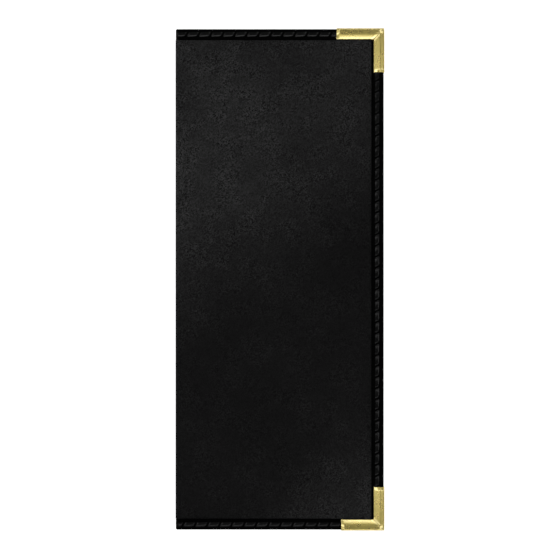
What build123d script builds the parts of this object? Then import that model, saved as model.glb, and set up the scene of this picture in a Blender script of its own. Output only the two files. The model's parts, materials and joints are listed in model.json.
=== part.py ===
from build123d import *
import os
from math import atan2, degrees, floor

# Tall booklet menu cover, closed and lying on its back face, in millimetres.
# X runs from the spine to the free edge, Y from foot to head, Z from the back face to the front face.
# Two padded leaves fold on the two long edges of a soft spine strip. Their other three edges are
# bound with a folded strip, stitched through, and capped with stamped brass corners.

# Menu sheet that each pocket takes, 4 1/4 by 11 inches
sheet_width = 107.95
sheet_length = 279.4
sheet_play = 0.4

# Plan of the cover
gutter = 6.05
side_border = 7.3
end_border = 6.1
panel_corner_radius = 1.0
board_corner_radius = 1.5

# Thickness of each layer of a leaf
cover_skin = 0.7
padding_foam = 1.0
stiff_board = 1.6
lining = 0.4
pocket_room = 0.3
pocket_film = 0.3
binding_strip = 0.6

# Forms of the layers
border_drop = 1.2
panel_edge_radius = 0.8
padding_edge_radius = 0.5
binding_fold_radius = 1.0
layer_fit = 0.1
binding_gap = 0.2
fold_land = 2.6
pocket_mouth = 8.0

# Clearances where the cover folds and closes
fold_gap = 0.2
leaf_gap = 0.3

# Stitches of flat waxed thread, each slanting a little across its seam. A first hole is measured
# from the spine on the head and foot seams, and from the middle of the free edge on that seam.
head_pitch = 7.0
foot_pitch = 7.1
fore_edge_pitch = 6.4
head_first_hole = 6.5
foot_first_hole = 4.3
fore_edge_hole = 0.9
stitch_space = 0.8
stitch_width = 2.1
stitch_rise = 0.5
stitch_tilt = 8.0
stitch_slant = 1.1
stitch_shoulder = 0.5
end_seam_inset = 2.9
side_seam_inset = 3.8

# Stamped brass corners
brass = 0.45
corner_panel_gap = 0.55
corner_crown = 0.25
corner_bend_ease = 0.2
corner_end_thickness = 0.25
corner_bevel_run = 1.2
head_corner_x = 28.0
head_corner_y = 25.8
foot_corner_x = 25.3
foot_corner_y = 25.4

# Overall plan
panel_width = gutter + sheet_width
panel_length = sheet_length + sheet_play
body_width = panel_width + side_border
body_length = panel_length + 2 * end_border

# Levels of the back leaf's raised panel, up from its outer face
panel_padding_low = cover_skin
panel_board_low = panel_padding_low + padding_foam
panel_lining_low = panel_board_low + stiff_board
panel_lining_high = panel_lining_low + lining
panel_film_low = panel_lining_high + pocket_room
panel_film_high = panel_film_low + pocket_film

# Levels of the back leaf's bound border
border_skin_low = border_drop + binding_strip
border_lining_low = border_skin_low + cover_skin
border_film_low = border_lining_low + lining
border_film_high = border_film_low + pocket_film
border_high = border_film_high + binding_strip

leaf_depth = max(panel_film_high, border_high + max(brass, stitch_rise))
closed_thickness = 2 * leaf_depth + leaf_gap

# Lines of the plan, with the origin under the middle of the closed cover
x_spine = -(body_width + brass) / 2
x_edge = x_spine + body_width
x_panel = x_spine + panel_width
y_edge = body_length / 2
y_panel = panel_length / 2
x_board_start = x_spine + fold_land + lining + layer_fit
x_board_end = x_panel - cover_skin - layer_fit
y_board = y_panel - cover_skin - layer_fit
binding_slot_radius = max(binding_fold_radius - binding_strip, 0.1)
x_layers_end = x_edge - binding_strip - binding_slot_radius
y_layers_end = y_edge - binding_strip - binding_slot_radius
x_binding = x_panel + binding_gap
y_binding = y_panel + binding_gap

# Levels of the spine's bound ends, in from its outer face, with the stitch flush with that face
spine_drop = stitch_rise
spine_skin_low = spine_drop + binding_strip
spine_lining_low = spine_skin_low + cover_skin
spine_lining_high = spine_lining_low + lining
spine_depth = spine_lining_high + binding_strip

# Height above the back face at which the spine's bound ends begin, on their outer face
mitre_start = border_drop + fold_gap

# Fold lines, in the middle of the skin's thickness
fold_radius = cover_skin / 2
x_fold = x_spine + fold_radius
back_fold_z = fold_radius
front_fold_z = closed_thickness - fold_radius

# Brass corners: leg width, and bend inside radius, tighter than the strip's fold to clear it
corner_leg = min(side_border, end_border) + brass - corner_panel_gap
corner_bend_radius = binding_fold_radius - corner_bend_ease

# How far cutting shapes run past what they cut
over = 5.0


def block(x0, x1, y0, y1, z0, z1):
    """A box between two corners."""
    return Pos((x0 + x1) / 2, (y0 + y1) / 2, (z0 + z1) / 2) * Box(x1 - x0, y1 - y0, z1 - z0)


def polygon(points):
    """A flat face with straight sides."""
    return make_face(Polyline(*points, close=True))


def plan_prism(points):
    """A prism over an outline of X and Y, as high as the closed cover."""
    return extrude(polygon(points), amount=closed_thickness)


def rounded_block(x0, x1, y, z0, z1, plan_radius, edge_radius=0):
    """A box centred on Y = 0 with rounded corners at its free edge, and a rounded outer rim."""
    body = block(x0, x1, -y, y, z0, z1)
    corners = body.edges().filter_by(Axis.Z).group_by(Axis.X)[-1]
    body = fillet(corners, plan_radius)
    if edge_radius:
        outer_face = body.faces().sort_by(Axis.Z)[0]
        rim = outer_face.edges().sort_by(Axis.X)[1:]
        body = fillet(rim, edge_radius)
    return body


def bar(section, plane, way, low, high):
    """A section drawn in a plane, made solid between two places along an axis that crosses it."""
    start = Pos(*[low * part for part in way])
    return extrude(start * (plane * section), amount=high - low, dir=way)


def bar_along_x(section, low, high):
    """A bar along X whose section is drawn in Y and Z."""
    return bar(section, Plane.YZ, (1, 0, 0), low, high)


def bar_along_y(section, low, high):
    """A bar along Y whose section is drawn in X and Z."""
    return bar(section, Plane.XZ, (0, 1, 0), low, high)


def prism_across(points):
    """A prism along the whole cover over an outline of X and Z."""
    return bar_along_y(polygon(points), -y_edge - over, y_edge + over)


def for_front(shape):
    """The front leaf's piece: the back leaf's, mirrored across the middle of the closed cover."""
    return mirror(shape, about=Plane.XY.offset(closed_thickness / 2))


def at_foot(shape):
    """A piece at the head, mirrored to the foot."""
    return mirror(shape, about=Plane.XZ)


def leaf_fold_cutter():
    """What the fold takes from a leaf: a socket round the fold line and a mitre on its borders."""
    socket = Pos(x_fold, 0, back_fold_z) * Rot(90, 0, 0)
    socket = socket * Cylinder(fold_radius + fold_gap, body_length + over)
    face = x_spine + cover_skin + fold_gap
    reach = closed_thickness
    mitre = x_spine + spine_drop + fold_gap
    beside = prism_across(
        [
            (x_spine - over, -over),
            (x_fold, -over),
            (x_fold, back_fold_z),
            (face, back_fold_z),
            (face, reach),
            (x_spine - over, reach),
        ]
    )
    slope = prism_across(
        [
            (mitre - over, border_drop - over),
            (mitre + reach, border_drop + reach),
            (mitre - over, border_drop + reach),
        ]
    )
    return socket + beside + slope


def spine_mitre(low, high):
    """The room that a bound end of the spine may fill between two depths from its outer face."""
    start = mitre_start - spine_drop
    return prism_across(
        [
            (x_spine + low, start + low),
            (x_spine + high, start + high),
            (x_spine + high, closed_thickness - start - high),
            (x_spine + low, closed_thickness - start - low),
        ]
    )


def cover_leaf():
    """Leatherette over one leaf: a raised panel with a joggled flange on three sides."""
    panel = rounded_block(
        x_fold, x_panel, y_panel, 0, border_lining_low, panel_corner_radius, panel_edge_radius
    )
    hollow = rounded_block(
        x_fold - over,
        x_panel - cover_skin,
        y_panel - cover_skin,
        cover_skin,
        border_lining_low + over,
        max(panel_corner_radius - cover_skin, 0.1),
    )
    flange = block(
        x_fold, x_layers_end, -y_layers_end, y_layers_end, border_skin_low, border_lining_low
    )
    return panel + flange - hollow - leaf_fold_cutter()


def padding_leaf():
    """Thin foam under the panel, its outer edges eased."""
    return rounded_block(
        x_board_start,
        x_board_end,
        y_board,
        panel_padding_low,
        panel_board_low,
        board_corner_radius,
        padding_edge_radius,
    )


def board_leaf():
    """Stiff board that keeps the leaf flat."""
    return rounded_block(
        x_board_start,
        x_board_end,
        y_board,
        panel_board_low,
        panel_lining_low,
        board_corner_radius,
    )


def lining_leaf():
    """Inner lining: over the board, down its spine end, and out to the bound edges."""
    x_wall = x_board_end + layer_fit
    y_wall = y_board + layer_fit
    cap = rounded_block(
        x_spine + fold_land,
        x_wall + lining,
        y_wall + lining,
        border_lining_low,
        panel_lining_high,
        board_corner_radius,
    )
    hollow = rounded_block(
        x_board_start - layer_fit,
        x_wall,
        y_wall,
        border_lining_low - over,
        panel_lining_low,
        max(board_corner_radius - lining, 0.1),
    )
    flange = block(
        x_fold, x_layers_end, -y_layers_end, y_layers_end, border_lining_low, border_film_low
    )
    well = block(x_fold - over, x_wall, -y_wall, y_wall, 0, border_film_low)
    end_wall = block(
        x_spine + fold_land,
        x_spine + fold_land + lining,
        -y_wall,
        y_wall,
        panel_padding_low,
        panel_lining_high,
    )
    foot = block(
        x_spine + cover_skin + lining + fold_gap,
        x_spine + fold_land,
        -y_wall,
        y_wall,
        panel_padding_low,
        panel_padding_low + lining,
    )
    return cap - hollow + (flange - well - leaf_fold_cutter()) + end_wall + foot


def pocket_leaf():
    """Clear film that stands off the lining and is caught in the binding on three sides."""
    x_wall = x_board_end + 2 * layer_fit + lining
    y_wall = y_board + 2 * layer_fit + lining
    cap = rounded_block(
        x_spine + pocket_mouth,
        x_wall + pocket_film,
        y_wall + pocket_film,
        border_film_low,
        panel_film_high,
        board_corner_radius,
    )
    hollow = rounded_block(
        x_spine + pocket_mouth - over,
        x_wall,
        y_wall,
        border_film_low - over,
        panel_film_low,
        max(board_corner_radius - pocket_film, 0.1),
    )
    flange = block(
        x_spine + pocket_mouth,
        x_layers_end,
        -y_layers_end,
        y_layers_end,
        border_film_low,
        border_film_high,
    )
    return cap + flange - hollow


def binding_section(inner, edge, low, high, slot_low, slot_high):
    """Folded strip across its length: two legs and the fold, as points of depth and height."""
    outside = polygon([(inner, low), (edge, low), (edge, high), (inner, high)])
    outside = fillet(outside.vertices().group_by(Axis.X)[-1], binding_fold_radius)
    slot_end = edge - binding_strip
    slot = polygon(
        [
            (inner - over, slot_low),
            (slot_end, slot_low),
            (slot_end, slot_high),
            (inner - over, slot_high),
        ]
    )
    slot = fillet(slot.vertices().group_by(Axis.X)[-1], binding_slot_radius)
    return outside - slot


def head_binding_leaf():
    """Strip along the head of a leaf, mitred at the spine and at the free corner."""
    section = binding_section(
        y_binding, y_edge, border_drop, border_high, border_skin_low, border_film_high
    )
    strip = bar_along_x(section, x_fold, x_edge)
    plan = plan_prism(
        [(x_fold, y_binding), (x_binding, y_binding), (x_edge, y_edge), (x_fold, y_edge)]
    )
    return (strip & plan) - leaf_fold_cutter()


def fore_edge_binding_leaf():
    """Strip along the free edge of a leaf, mitred at both ends."""
    section = binding_section(
        x_binding, x_edge, border_drop, border_high, border_skin_low, border_film_high
    )
    strip = bar_along_y(section, -y_edge, y_edge)
    plan = plan_prism(
        [(x_binding, -y_binding), (x_edge, -y_edge), (x_edge, y_edge), (x_binding, y_binding)]
    )
    return strip & plan


def spine_end_layer(inner, outer, wall_y, high):
    """A layer of the spine's bound ends: a step down at the panel's end and a tab in the binding."""
    wall = block(x_spine + inner, x_spine + high, -wall_y, wall_y, 0, closed_thickness)
    tab = block(
        x_spine + outer, x_spine + high, -y_layers_end, y_layers_end, 0, closed_thickness
    )
    between = wall_y - (high - outer)
    middle = block(x_spine - over, x_edge, -between, between, -over, closed_thickness + over)
    return (wall + tab - middle) & spine_mitre(inner, high)


def cover_spine():
    """Leatherette of the spine: a strip with round fold lines and stepped bound ends."""
    strip = block(x_spine, x_spine + cover_skin, -y_panel, y_panel, back_fold_z, front_fold_z)
    for fold_z in (back_fold_z, front_fold_z):
        strip += Pos(x_fold, 0, fold_z) * Rot(90, 0, 0) * Cylinder(fold_radius, panel_length)
    return strip + spine_end_layer(0, spine_skin_low, y_panel, spine_lining_low)


def lining_spine():
    """Lining glued inside the spine strip, with the same steps at its bound ends."""
    y_wall = y_panel - cover_skin
    start = cover_skin + fold_gap
    strip = block(
        x_spine + cover_skin,
        x_spine + cover_skin + lining,
        -y_wall,
        y_wall,
        start,
        closed_thickness - start,
    )
    room = mitre_start - spine_drop
    for side in (-1, 1):
        middle = side * (y_wall - lining / 2)
        below = block(x_spine, x_edge, middle - lining / 2, middle + lining / 2, -over, room)
        strip -= below + for_front(below)
    return strip + spine_end_layer(cover_skin, spine_lining_low, y_wall, spine_lining_high)


def head_binding_spine():
    """Strip over the head of the spine, between the two mitres."""
    section = binding_section(
        y_binding,
        y_edge,
        x_spine + spine_drop,
        x_spine + spine_depth,
        x_spine + spine_skin_low,
        x_spine + spine_lining_high,
    )
    upright = mirror(section, about=Plane(origin=(0, 0, 0), z_dir=(1, -1, 0)))
    strip = bar(upright, Plane.XY, (0, 0, 1), 0, closed_thickness)
    return strip & spine_mitre(spine_drop, spine_depth)


def stitch(length):
    """One stitch along X on the plane Z = 0, slanted at its ends and sloping up to its crown."""
    half = length / 2
    side = stitch_width / 2
    outline = polygon(
        [
            (-half, -side),
            (half - stitch_slant, -side),
            (half, 0),
            (half, side),
            (stitch_slant - half, side),
            (-half, 0),
        ]
    )
    side_slope = degrees(atan2(stitch_shoulder, stitch_rise))
    return extrude(outline, amount=stitch_rise, taper=side_slope)


def seam(start, end, hole, pitch):
    """Middle and length of each stitch on a seam that has a needle hole at the given place."""
    first = hole - pitch * floor((hole - start) / pitch)
    count = floor((end - first) / pitch) + 1
    holes = [start] + [first + number * pitch for number in range(count)] + [end]
    shortest = stitch_width + stitch_space
    spans = [(low, high) for low, high in zip(holes, holes[1:]) if high - low > shortest]
    return [((low + high) / 2, high - low - stitch_space) for low, high in spans]


def stitch_pair(length, lean):
    """A stitch on the outer face of the back leaf and one on its inner face, at X = Y = 0."""
    one = Rot(0, 0, stitch_tilt) * stitch(length)
    if lean < 0:
        one = mirror(one, about=Plane.XZ)
    outer = Pos(0, 0, border_drop) * mirror(one, about=Plane.XY)
    inner = Pos(0, 0, border_high) * one
    return outer, inner


def end_stitches(lean, side, hole, pitch, corner_x):
    """Stitches along the head of a leaf, where side is 1, or along its foot, where side is -1."""
    reach = x_edge + brass - corner_x
    y = side * (y_edge - end_seam_inset)
    outer_start = x_spine + spine_drop + fold_gap
    inner_start = outer_start + border_high - border_drop
    outer = [
        Pos(x, y, 0) * stitch_pair(length, lean)[0]
        for x, length in seam(outer_start, reach, x_spine + hole, pitch)
    ]
    inner = [
        Pos(x, y, 0) * stitch_pair(length, lean)[1]
        for x, length in seam(inner_start, reach, x_spine + hole, pitch)
    ]
    return Compound(outer + inner)


def fore_edge_stitches(lean):
    """Stitches along the free edge of a leaf, between its two brass corners."""
    start = foot_corner_y - y_edge - brass
    end = y_edge + brass - head_corner_y
    x = x_edge - side_seam_inset
    placed = []
    for y, length in seam(start, end, fore_edge_hole, fore_edge_pitch):
        for one in stitch_pair(length, lean):
            placed.append(Pos(x, y, 0) * Rot(0, 0, 90) * one)
    return Compound(placed)


def spine_stitch(side):
    """The stitch that crosses the spine's outer face at its head or foot."""
    length = closed_thickness - 2 * mitre_start - stitch_space
    place = Pos(x_spine + spine_drop, side * (y_edge - end_seam_inset), closed_thickness / 2)
    return place * Rot(0, -90, 0) * Rot(0, 0, stitch_tilt) * stitch(length)


def corner_section():
    """Stamped brass across a leg, from the bound edge at 0: crowned outer face, flat inner face."""
    lip = brass - corner_leg
    bend = -corner_bend_radius
    crown = (lip + bend) / 2
    low, low_bend = border_drop, border_drop + corner_bend_radius
    high, high_bend = border_high, border_high - corner_bend_radius
    outer_radius = corner_bend_radius + brass
    outline = [
        ThreePointArc((lip, low), (crown, low - corner_crown), (bend, low)),
        RadiusArc((bend, low), (0, low_bend), -corner_bend_radius),
        Line((0, low_bend), (0, high_bend)),
        RadiusArc((0, high_bend), (bend, high), -corner_bend_radius),
        Line((bend, high), (lip, high)),
        Line((lip, high), (lip, high + brass)),
        Line((lip, high + brass), (bend, high + brass)),
        RadiusArc((bend, high + brass), (brass, high_bend), outer_radius),
        Line((brass, high_bend), (brass, low_bend)),
        RadiusArc((brass, low_bend), (bend, low - brass), outer_radius),
        ThreePointArc((bend, low - brass), (crown, low - brass - corner_crown), (lip, low - brass)),
        Line((lip, low - brass), (lip, low)),
    ]
    return make_face(outline)


def corner_end_ramp(end):
    """What the bevel takes off the crown at a leg's end, in place along the leg and height."""
    high = border_drop - corner_crown - corner_end_thickness
    low = border_drop - corner_crown - brass
    return polygon([(end, low), (end + corner_bevel_run, low), (end, high)])


def corner_leaf(leg_x, leg_y):
    """L-shaped brass corner clamped over the bound edges at the head, with a mitred crease."""
    section = corner_section()
    x_out, y_out = x_edge + brass, y_edge + brass
    x_in, y_in = x_out - corner_leg, y_out - corner_leg
    x_end, y_end = x_out - leg_x, y_out - leg_y
    along_x = bar_along_x(Pos(y_edge, 0) * section, x_end, x_out)
    along_x -= bar_along_y(corner_end_ramp(x_end), y_in, y_out)
    along_y = bar_along_y(Pos(x_edge, 0) * section, y_end, y_out)
    along_y -= bar_along_x(corner_end_ramp(y_end), x_in, x_out)
    over_x = plan_prism([(x_in, y_in), (x_out, y_out), (x_end, y_out), (x_end, y_in)])
    over_y = plan_prism([(x_in, y_in), (x_out, y_out), (x_out, y_end), (x_in, y_end)])
    return (along_x & over_x) + (along_y & over_y)


def leaf_layers():
    """The layers, bindings and corners of the back leaf, by name."""
    return {
        "cover": cover_leaf(),
        "padding": padding_leaf(),
        "board": board_leaf(),
        "lining": lining_leaf(),
        "pocket": pocket_leaf(),
        "head_binding": head_binding_leaf(),
        "foot_binding": at_foot(head_binding_leaf()),
        "fore_edge_binding": fore_edge_binding_leaf(),
        "head_corner": corner_leaf(head_corner_x, head_corner_y),
        "foot_corner": at_foot(corner_leaf(foot_corner_x, foot_corner_y)),
    }


def leaf_seams(lean):
    """The seams of the back leaf, by name, leaning one way or the other across their line."""
    return {
        "head_stitches": end_stitches(lean, 1, head_first_hole, head_pitch, head_corner_x),
        "foot_stitches": end_stitches(lean, -1, foot_first_hole, foot_pitch, foot_corner_x),
        "fore_edge_stitches": fore_edge_stitches(lean),
    }


def menu_cover():
    """All pieces of the cover, by node name."""
    pieces = {}
    for name, shape in leaf_layers().items():
        pieces["back_" + name] = shape
        pieces["front_" + name] = for_front(shape)
    for name, shape in leaf_seams(-1).items():
        pieces["back_" + name] = shape
    for name, shape in leaf_seams(1).items():
        pieces["front_" + name] = for_front(shape)
    pieces["spine_cover"] = cover_spine()
    pieces["spine_lining"] = lining_spine()
    pieces["spine_head_binding"] = head_binding_spine()
    pieces["spine_foot_binding"] = at_foot(head_binding_spine())
    pieces["spine_head_stitch"] = spine_stitch(1)
    pieces["spine_foot_stitch"] = spine_stitch(-1)
    return pieces


os.makedirs("parts", exist_ok=True)
for node, piece in menu_cover().items():
    export_step(piece, f"parts/{node}.step")
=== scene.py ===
import cmath
import json
import math

import bmesh
import bpy
import numpy as np
from bpy.props import FloatProperty, FloatVectorProperty, IntProperty, PointerProperty
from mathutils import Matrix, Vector, noise


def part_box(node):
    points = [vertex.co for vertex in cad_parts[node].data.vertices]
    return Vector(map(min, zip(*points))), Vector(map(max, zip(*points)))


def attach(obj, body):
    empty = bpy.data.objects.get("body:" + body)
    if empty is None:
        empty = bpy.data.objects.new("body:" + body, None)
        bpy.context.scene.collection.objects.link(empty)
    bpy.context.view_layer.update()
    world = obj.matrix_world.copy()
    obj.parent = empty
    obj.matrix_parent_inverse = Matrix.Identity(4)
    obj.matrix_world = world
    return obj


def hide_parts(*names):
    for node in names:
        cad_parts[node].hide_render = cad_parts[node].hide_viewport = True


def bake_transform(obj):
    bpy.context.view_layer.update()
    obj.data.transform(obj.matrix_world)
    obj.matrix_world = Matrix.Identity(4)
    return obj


bl_info = {
    "name": "Menu Cover",
    "version": (1, 0, 0),
    "blender": (4, 5, 0),
    "location": "View3D > Sidebar > Menu Cover",
    "description": "Padded booklet menu cover with bound, laced edges and stamped brass corners",
    "category": "Object",
}

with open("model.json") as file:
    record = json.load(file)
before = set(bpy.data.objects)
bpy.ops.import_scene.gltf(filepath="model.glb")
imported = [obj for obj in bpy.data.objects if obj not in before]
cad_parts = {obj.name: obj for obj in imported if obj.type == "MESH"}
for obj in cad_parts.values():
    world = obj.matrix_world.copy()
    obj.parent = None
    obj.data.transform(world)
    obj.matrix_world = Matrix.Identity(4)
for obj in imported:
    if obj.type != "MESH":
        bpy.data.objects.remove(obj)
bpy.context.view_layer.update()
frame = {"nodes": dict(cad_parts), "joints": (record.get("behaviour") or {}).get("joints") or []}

MM = 0.001
LEAVES = ("back", "front")
ENDS = {"head": 1, "foot": -1}
QUARTER = math.pi / 2

# Setting of a node whose values ease in and out
SOFTLY = {"interpolation_type": "SMOOTHSTEP"}

# Plan of the closed cover, read from the frame. Run is the distance in from the spine's outer face.
SPINE_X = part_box("spine_cover")[0].x
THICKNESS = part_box("spine_cover")[1].z
EDGE_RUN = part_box("back_fore_edge_binding")[1].x - SPINE_X
EDGE_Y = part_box("back_fore_edge_binding")[1].y
BINDING_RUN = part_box("back_fore_edge_binding")[0].x - SPINE_X
BINDING_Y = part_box("back_head_binding")[0].y
LAYERS_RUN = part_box("back_cover")[1].x - SPINE_X
LAYERS_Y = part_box("back_cover")[1].y
BOARD_START, BOARD_END = (corner.x - SPINE_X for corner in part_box("back_board"))
BOARD_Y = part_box("back_board")[1].y
MOUTH_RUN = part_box("back_pocket")[0].x - SPINE_X
BRASS_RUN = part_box("back_head_corner")[1].x - SPINE_X
BRASS_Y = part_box("back_head_corner")[1].y

# Depths below a leaf's outer face, read from the back leaf, whose outer face is at height 0
BORDER_OUT, BORDER_IN = (corner.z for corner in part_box("back_head_binding"))
BOARD_OUT, BOARD_IN = (corner.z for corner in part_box("back_board"))
LINING_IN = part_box("back_lining")[1].z
FILM_OUT, FILM_IN = (corner.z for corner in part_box("back_pocket"))
PADDING_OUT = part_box("back_padding")[0].z

# Depths below the spine's outer face
SPINE_BORDER_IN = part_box("spine_head_binding")[1].x - SPINE_X
SPINE_LINING_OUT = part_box("spine_lining")[0].x - SPINE_X
SPINE_LINING_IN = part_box("spine_lining")[1].x - SPINE_X

# The fold line lies as deep below the leaf's face as it lies in from the spine's face
FOLD = frame["joints"][0]["pos_m"][2]

# A layer's line has this many parts where it crosses the fold
CREASE_STEPS = 8


def linear(colour):
    """An sRGB hex colour as the linear red, green and blue that shaders take."""
    parts = [int(colour[at : at + 2], 16) / 255 for at in (1, 3, 5)]
    return [part / 12.92 if part <= 0.04045 else ((part + 0.055) / 1.055) ** 2.4 for part in parts]


def length(name, description, default):
    """A size that a user would change, in metres."""
    return FloatProperty(name=name, description=description, default=default, unit="LENGTH", precision=5)


def colour(name, description, default):
    """A colour that a user would change, given as sRGB hex."""
    return FloatVectorProperty(
        name=name, description=description, default=linear(default), subtype="COLOR", min=0, max=1
    )


class SkinSettings(bpy.types.PropertyGroup):
    """Leatherette over the two boards and the spine"""

    rim: length("Rim", "Radius where the padded panel turns down to its border", 0.4 * MM)
    corner: length("Corner", "Radius of the panel's two free corners in plan", 1.0 * MM)
    thickness: length("Thickness", "Thickness of the leatherette", 0.3 * MM)
    sink: length("Sink", "How far the padded face falls away towards its rim", 0.16 * MM)
    swell: length("Swell", "Height of the slow unevenness of the padded face", 0.10 * MM)
    shade: colour("Shade", "Leatherette", "#1b1b1b")


class BindingSettings(bpy.types.PropertyGroup):
    """Folded strip that binds the edges"""

    strip: length("Strip", "Thickness of the strip", 0.6 * MM)
    fold: length("Fold", "Outer radius where the strip folds over the edge", 1.0 * MM)
    recess: length("Recess", "Depth of the strip below the spine's face", 0.12 * MM)
    side_gap: length("Side gap", "Gap from the raised panel to the strip of the free edge", 0.12 * MM)
    end_gap: length("End gap", "Gap from the raised panel to the strips of head and foot", 0.7 * MM)
    lap: length("Lap", "How much further in the strips of head and foot reach on the outer face", 0.5 * MM)
    # Painted near black, darker than the real strip, to carry the shade that lies along the border
    shade: colour("Shade", "Binding strip", "#020202")


class LacingSettings(bpy.types.PropertyGroup):
    """Flat waxed lacing through the bound edges"""

    head_pitch: length("Head pitch", "Distance between holes along the head", 7.0 * MM)
    foot_pitch: length("Foot pitch", "Distance between holes along the foot", 7.1 * MM)
    fore_edge_pitch: length("Fore edge pitch", "Distance between holes on the free edge", 6.4 * MM)
    head_hole: length("Head hole", "First hole of the head, from the spine", 6.5 * MM)
    foot_hole: length("Foot hole", "First hole of the foot, from the spine", 4.3 * MM)
    fore_edge_hole: length("Fore edge hole", "A hole of the free edge, up from its middle", 0.9 * MM)
    end_inset: length("End inset", "Seam line of head and foot, in from the bound edge", 3.1 * MM)
    side_inset: length("Side inset", "Seam line of the free edge, in from the edge", 3.8 * MM)
    gap: length("Gap", "Dark slot between two stitches", 0.55 * MM)
    width: length("Width", "Width of the lacing", 2.5 * MM)
    rise: length("Rise", "Height of a stitch above the strip", 0.5 * MM)
    tilt: FloatProperty(
        name="Tilt", description="Turn out of its seam", default=math.radians(1.5), subtype="ANGLE"
    )
    slant: FloatProperty(name="Slant", description="Slant of a stitch's ends", default=0.55)
    seed: IntProperty(name="Seed", description="Choice of small differences between stitches", default=7)
    shade: colour("Shade", "Lacing", "#0e0e0e")


class CornerSettings(bpy.types.PropertyGroup):
    """Stamped brass corners"""

    sheet: length("Sheet", "Thickness of the brass", 0.45 * MM)
    leg: length("Leg", "Width of a leg", 6.4 * MM)
    flat: length("Flat", "Width of the flat band along the outer edge", 2.8 * MM)
    crown: length("Crown", "Height of the flat band above the sheet's own thickness", 0.68 * MM)
    end_slope: length("End slope", "Fall of the flat band to the outer edge, legs of the ends", -0.06 * MM)
    side_slope: length("Side slope", "Fall of the flat band to the outer edge, legs of the side", 0.42 * MM)
    lip: length("Lip", "Thickness of the lip beside the panel", 0.05 * MM)
    bend: length("Bend", "Outer radius where the brass folds over the edge", 0.7 * MM)
    bevel: length("Bevel", "Length of the bevel at a leg's end", 1.8 * MM)
    shade: colour("Shade", "Brass", "#ceb74e")


class InsideSettings(bpy.types.PropertyGroup):
    """Lining, pockets, boards and padding"""

    cloth: length("Cloth", "Thickness of the lining cloth", 0.3 * MM)
    film: length("Film", "Thickness of the clear film", 0.2 * MM)
    ripple: length("Ripple", "Height of the film's slow ripples", 0.06 * MM)
    lining: colour("Lining", "Lining cloth", "#191a1c")
    board: colour("Board", "Grey board", "#8a867d")
    foam: colour("Foam", "Padding foam", "#8f9091")
    clear: colour("Clear", "Clear film", "#f2f5f6")


class StageSettings(bpy.types.PropertyGroup):
    """Camera, floor and lamps"""

    distance: length("Distance", "Camera height above the cover's face", 1223.2 * MM)
    lens: FloatProperty(name="Lens", description="Focal length in millimetres", default=135)
    centre_x: length("Centre X", "Where the camera looks, across", -0.05 * MM)
    centre_y: length("Centre Y", "Where the camera looks, along", -0.35 * MM)
    floor: colour("Floor", "Pale floor", "#f4f4f4")


SETTINGS = {
    "cover_skin": SkinSettings,
    "cover_binding": BindingSettings,
    "cover_lacing": LacingSettings,
    "cover_corners": CornerSettings,
    "cover_inside": InsideSettings,
    "cover_stage": StageSettings,
}


def settings(name):
    """One group of the scene's sizes and colours."""
    return getattr(bpy.context.scene, name)


def add(tree, kind, inputs=None, **values):
    """A node in a tree, with its own settings, and with values or links for its inputs.

    An input that is given a node takes the node's first output.
    """
    node = tree.nodes.new(kind)
    for key, value in values.items():
        setattr(node, key, value)
    for key, value in (inputs or {}).items():
        if isinstance(value, bpy.types.Node):
            value = value.outputs[0]
        if isinstance(value, bpy.types.NodeSocket):
            tree.links.new(value, node.inputs[key])
        else:
            node.inputs[key].default_value = value
    return node


def on_surface(tree):
    """A piece's own lengths along and across it."""
    return add(tree, "ShaderNodeUVMap", uv_map="surface")


def paint(tree, **inputs):
    """The principled shader and the output of a material."""
    shader = add(tree, "ShaderNodeBsdfPrincipled", {key.replace("_", " "): inputs[key] for key in inputs})
    add(tree, "ShaderNodeOutputMaterial", {"Surface": shader})


def shades(tree, factor, dark, light, low=0.3, high=0.7):
    """A ramp from one shade to another over part of a pattern's range."""
    ramp = add(tree, "ShaderNodeValToRGB", {"Fac": factor})
    for element, position, shade in zip(ramp.color_ramp.elements, (low, high), (dark, light)):
        element.position = position
        element.color = (*shade, 1)
    return ramp


def times(shade, *factors):
    """A colour with all its parts multiplied by one factor, or each by its own."""
    return [part * factor for part, factor in zip(shade, factors * (3 // len(factors)))]


def round_patch(tree, surface, centre, radius):
    """A soft round patch on a surface, 1 at its centre and 0 from its radius outwards."""
    off = add(tree, "ShaderNodeVectorMath", {0: surface, 1: (*centre, 0)}, operation="DISTANCE")
    fade = {"Value": off.outputs["Value"], "From Max": radius, "To Min": 1.0, "To Max": 0.0}
    return add(tree, "ShaderNodeMapRange", fade, **SOFTLY)


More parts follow.
